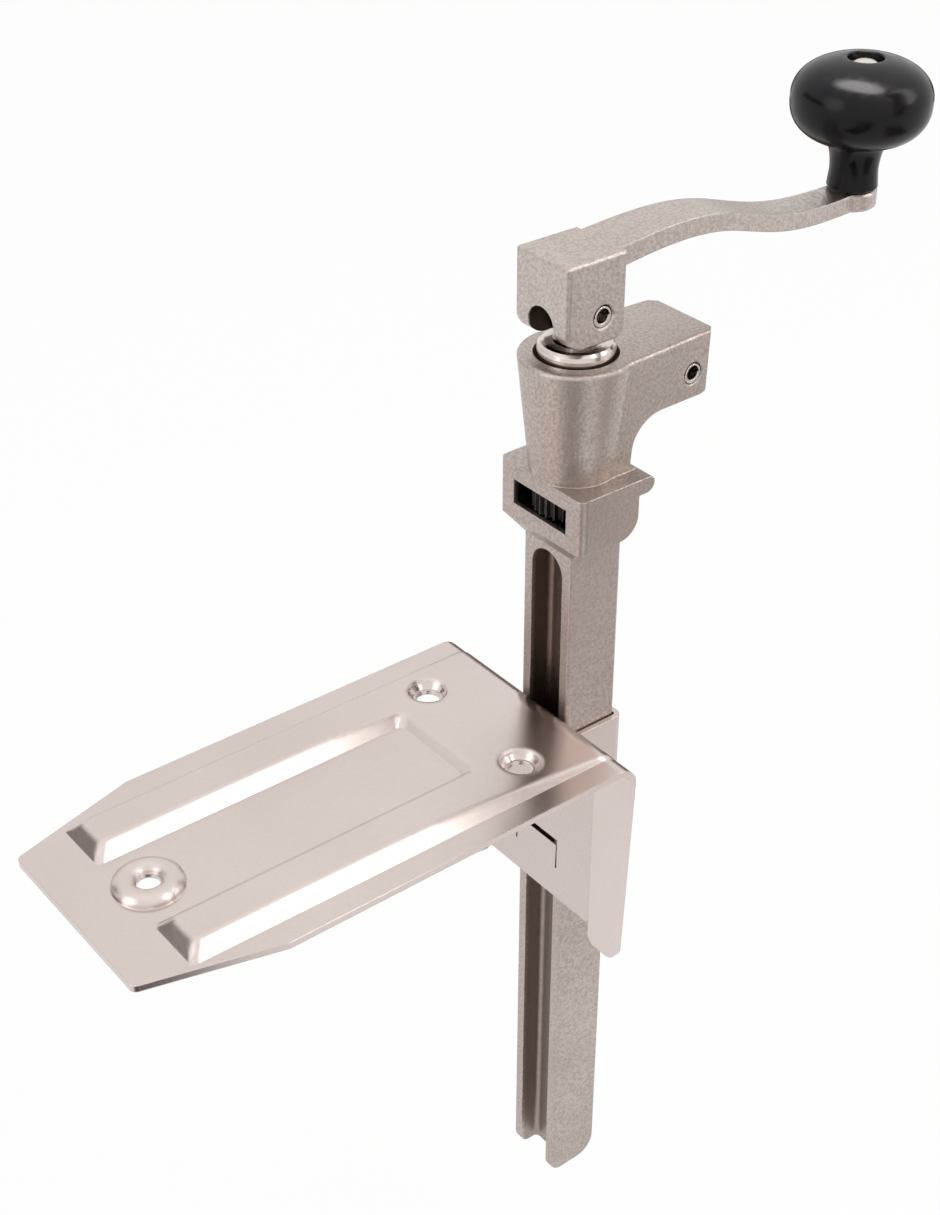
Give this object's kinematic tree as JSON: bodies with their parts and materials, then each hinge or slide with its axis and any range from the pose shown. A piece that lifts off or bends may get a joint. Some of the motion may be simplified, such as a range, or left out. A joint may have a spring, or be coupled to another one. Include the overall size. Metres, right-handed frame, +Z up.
{
  "type": "industrial can opener",
  "caption": "Table-mounted crank can opener: a pressed steel base with an apron guides a cast bar whose head carries a crank, a drive gear and a hinged knife.",
  "frame": {"origin": "midway between the two rear screw holes, on the table top", "axes": "+Z up along the bar, +X from the tip of the plate towards the bar and crank, Y across the plate"},
  "size_m": [0.3601, 0.1026, 0.4588],
  "materials": {
    "base_sheet": "smooth bright nickel plating",
    "guide_sheet": "smooth bright nickel plating",
    "cast_body": "nickel plating over a fine sandy casting skin",
    "crank_casting": "nickel plating over a fine casting skin",
    "bearing_metal": "turned",
    "arbor_steel": "polished",
    "gear_steel": "hardened, satin",
    "knife_steel": "hardened, ground edge",
    "pin_steel": "bright",
    "knob_plastic": "glossy black"
  },
  "bodies": {
    "base": {"base_plate": "base_sheet", "guide_plate": "guide_sheet", "guide_strap": "guide_sheet"},
    "bar": {"opener_bar": "cast_body", "upper_bush": "bearing_metal", "lower_bush": "bearing_metal", "thrust_washer": "arbor_steel", "knife_pin": "pin_steel"},
    "knife": {"knife": "knife_steel", "knife_spring": "pin_steel"},
    "arbor": {"arbor": "arbor_steel", "drive_gear": "gear_steel", "gear_pin": "pin_steel"},
    "ring": {"thrust_ring": "arbor_steel", "ring_spring": "pin_steel"},
    "crank": {"crank_handle": "crank_casting", "crank_pin": "pin_steel", "knob_stud": "pin_steel"},
    "knob": {"knob": "knob_plastic", "knob_sleeve": "arbor_steel"}
  },
  "joints": [
    {"name": "bar_slide", "type": "slide", "parent": "base", "child": "bar", "axis": [0, 0, 1], "range_m": [-0.06, 0.15]},
    {"name": "arbor_spin", "type": "hinge", "parent": "bar", "child": "arbor", "pos_m": [0.0438, 0, 0.1], "axis": [0, 0, 1], "continuous": true},
    {"name": "crank_fold", "type": "hinge", "parent": "arbor", "child": "crank", "pos_m": [0.0438, 0, 0.1569], "axis": [0, -1, 0], "range_deg": [0, 60]},
    {"name": "ring_slide", "type": "slide", "parent": "arbor", "child": "ring", "axis": [0, 0, 1], "range_m": [-0.0034, 0], "deforming": ["ring_spring"]},
    {"name": "knob_spin", "type": "hinge", "parent": "crank", "child": "knob", "pos_m": [0.1733, 0, 0.19], "axis": [0, 0, 1], "continuous": true},
    {"name": "knife_pivot", "type": "hinge", "parent": "bar", "child": "knife", "pos_m": [0.0835, 0, 0.1255], "axis": [0, -1, 0], "range_deg": [0, 6], "stiffness_Nm_per_rad": 2, "springref_deg": -5.73}
  ],
  "couplings": [
    {"joint": "ring_slide", "follows": "crank_fold", "m_per_rad": -0.0032467}
  ]
}
